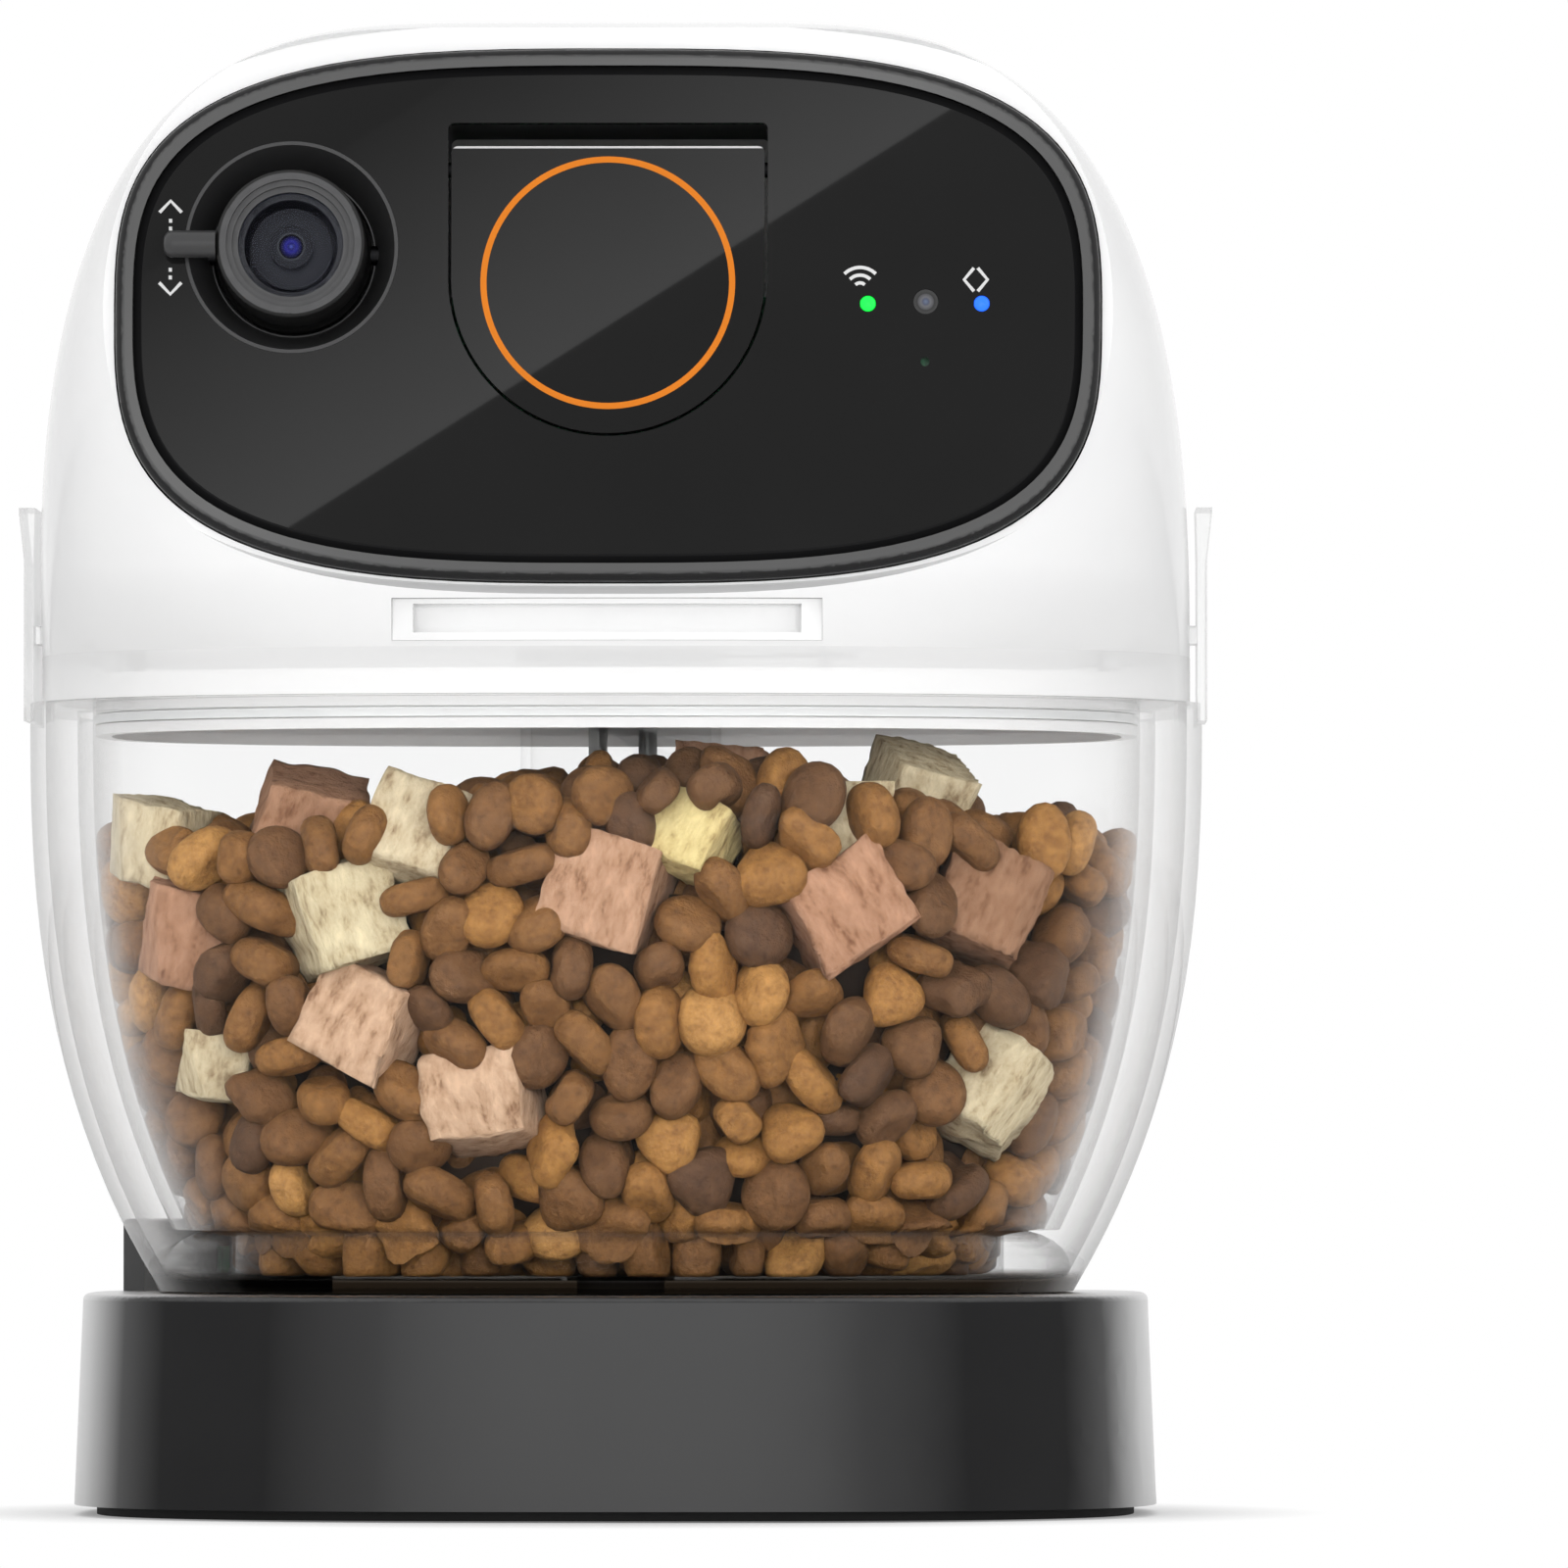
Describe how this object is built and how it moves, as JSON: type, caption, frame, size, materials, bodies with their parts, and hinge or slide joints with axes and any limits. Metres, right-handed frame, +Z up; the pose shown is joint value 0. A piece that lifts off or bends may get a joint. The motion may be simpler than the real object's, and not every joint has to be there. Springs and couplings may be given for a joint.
{
  "type": "treat tossing pet camera",
  "caption": "Free-standing pet camera with a clear treat bowl, a screw that lifts treats, and a head with a tilting camera and a flap that treats are thrown through.",
  "frame": {"origin": "centre of the footprint, on the surface it stands on", "axes": "+Z up, -Y the way the camera looks, +X to the right as seen from the front"},
  "size_m": [0.1874, 0.1514, 0.2323],
  "materials": {
    "base_plastic": "fine satin dark grey",
    "foot_rubber": "matt",
    "clear_plastic": "polished clear",
    "white_plastic": "glossy white",
    "face_black": "deep gloss black",
    "bezel_black": "gloss black",
    "inner_plastic": "matt",
    "gear_plastic": "matt acetal",
    "steel": "bright",
    "motor_steel": "plated can",
    "bronze": "sintered",
    "contact_metal": "gold plated",
    "circuit_board": "solder mask",
    "orange_plastic": "satin orange",
    "lens_glass": "coated",
    "seal_rubber": "translucent silicone",
    "treats": "dry baked treats",
    "status_light": "translucent"
  },
  "bodies": {
    "base": {"base_housing": "base_plastic", "bottom_cover": "base_plastic", "rubber_foot": "foot_rubber", "base_screws": "steel", "power_board": "circuit_board", "power_inlet": "steel", "dock_post": "base_plastic", "bowl_sensor": "circuit_board", "feed_motor": "motor_steel", "shaft_bushes": "bronze", "base_contacts": "contact_metal"},
    "feed_drive": {"feed_gear": "gear_plastic", "drive_shaft": "steel"},
    "motor_pinion": {"feed_pinion": "bronze"},
    "bowl": {"treat_bowl": "clear_plastic", "bowl_liner": "clear_plastic", "liner_seat": "clear_plastic", "treat_fill": "treats", "screw_bush": "white_plastic", "lift_tube": "clear_plastic", "tube_cap": "clear_plastic", "contact_strips": "contact_metal"},
    "screw": {"lift_screw": "clear_plastic"},
    "head": {"head_floor": "clear_plastic", "rim_seal": "seal_rubber", "head_screws": "steel", "head_shell": "white_plastic", "front_grip": "white_plastic", "clip_pins": "steel", "face_bezel": "bezel_black", "face_panel": "face_black", "camera_socket": "bezel_black", "flap_pin": "steel", "flap_spring": "steel", "launch_duct": "inner_plastic", "throw_frame": "white_plastic", "throw_bushes": "bronze", "throw_motor": "motor_steel", "throw_spring": "steel", "inner_screws": "steel", "main_board": "circuit_board", "led_board": "circuit_board", "status_leds": "status_light", "light_sensor": "bezel_black", "speaker": "inner_plastic", "button_board": "circuit_board"},
    "camera": {"camera_ball": "face_black", "tilt_pins": "steel", "tilt_lever": "face_black", "lens_glass": "lens_glass", "camera_module": "inner_plastic"},
    "flap_body": {"flap": "face_black", "flap_ring": "orange_plastic"},
    "thrower": {"throw_arm": "white_plastic", "throw_shaft": "steel", "throw_gear": "gear_plastic"},
    "throw_drive": {"throw_pinion": "bronze"},
    "clip_left": {"side_clip_left": "clear_plastic"},
    "clip_right": {"side_clip_right": "clear_plastic"},
    "button": {"top_button": "white_plastic"}
  },
  "joints": [
    {"name": "bowl_lift", "type": "slide", "parent": "base", "child": "bowl", "axis": [0, 0, 1], "range_m": [0, 0.04]},
    {"name": "feed_spin", "type": "hinge", "parent": "base", "child": "feed_drive", "pos_m": [0, 0.03, 0.0255], "axis": [0, 0, 1], "continuous": true},
    {"name": "feed_pinion_spin", "type": "hinge", "parent": "base", "child": "motor_pinion", "pos_m": [-0.042, 0.03, 0.0255], "axis": [0, 0, 1], "continuous": true},
    {"name": "lift_screw_spin", "type": "hinge", "parent": "bowl", "child": "screw", "pos_m": [0, 0.03, 0.1], "axis": [0, 0, 1], "continuous": true},
    {"name": "head_lift", "type": "slide", "parent": "bowl", "child": "head", "axis": [0, 0, 1], "range_m": [0, 0.1]},
    {"name": "camera_tilt", "type": "hinge", "parent": "head", "child": "camera", "pos_m": [-0.0487, -0.05819, 0.19499], "axis": [1, 0, 0], "range_deg": [-18, 18]},
    {"name": "flap_swing", "type": "hinge", "parent": "head", "child": "flap_body", "pos_m": [0, -0.06288, 0.20795], "axis": [-1, 0, 0], "range_deg": [0, 75], "stiffness_Nm_per_rad": 0.0008},
    {"name": "arm_throw", "type": "hinge", "parent": "head", "child": "thrower", "pos_m": [0, -0.03, 0.145], "axis": [1, 0, 0], "range_deg": [0, 60], "stiffness_Nm_per_rad": 0.002},
    {"name": "throw_pinion_spin", "type": "hinge", "parent": "head", "child": "throw_drive", "pos_m": [0.021, -0.01939, 0.15561], "axis": [1, 0, 0], "range_deg": [-100, 5]},
    {"name": "clip_left_squeeze", "type": "hinge", "parent": "head", "child": "clip_left", "pos_m": [-0.0887, 0, 0.138], "axis": [0, 1, 0], "range_deg": [0, 3.5], "stiffness_Nm_per_rad": 0.3},
    {"name": "clip_right_squeeze", "type": "hinge", "parent": "head", "child": "clip_right", "pos_m": [0.0887, 0, 0.138], "axis": [0, -1, 0], "range_deg": [0, 3.5], "stiffness_Nm_per_rad": 0.3},
    {"name": "button_press", "type": "slide", "parent": "head", "child": "button", "axis": [0, 0, -1], "range_m": [0, 0.0008], "stiffness_N_per_m": 500}
  ],
  "couplings": [
    {"joint": "feed_pinion_spin", "follows": "feed_spin", "ratio": -4.25},
    {"joint": "lift_screw_spin", "follows": "feed_spin", "ratio": 1},
    {"joint": "throw_pinion_spin", "follows": "arm_throw", "ratio": -1.5}
  ]
}
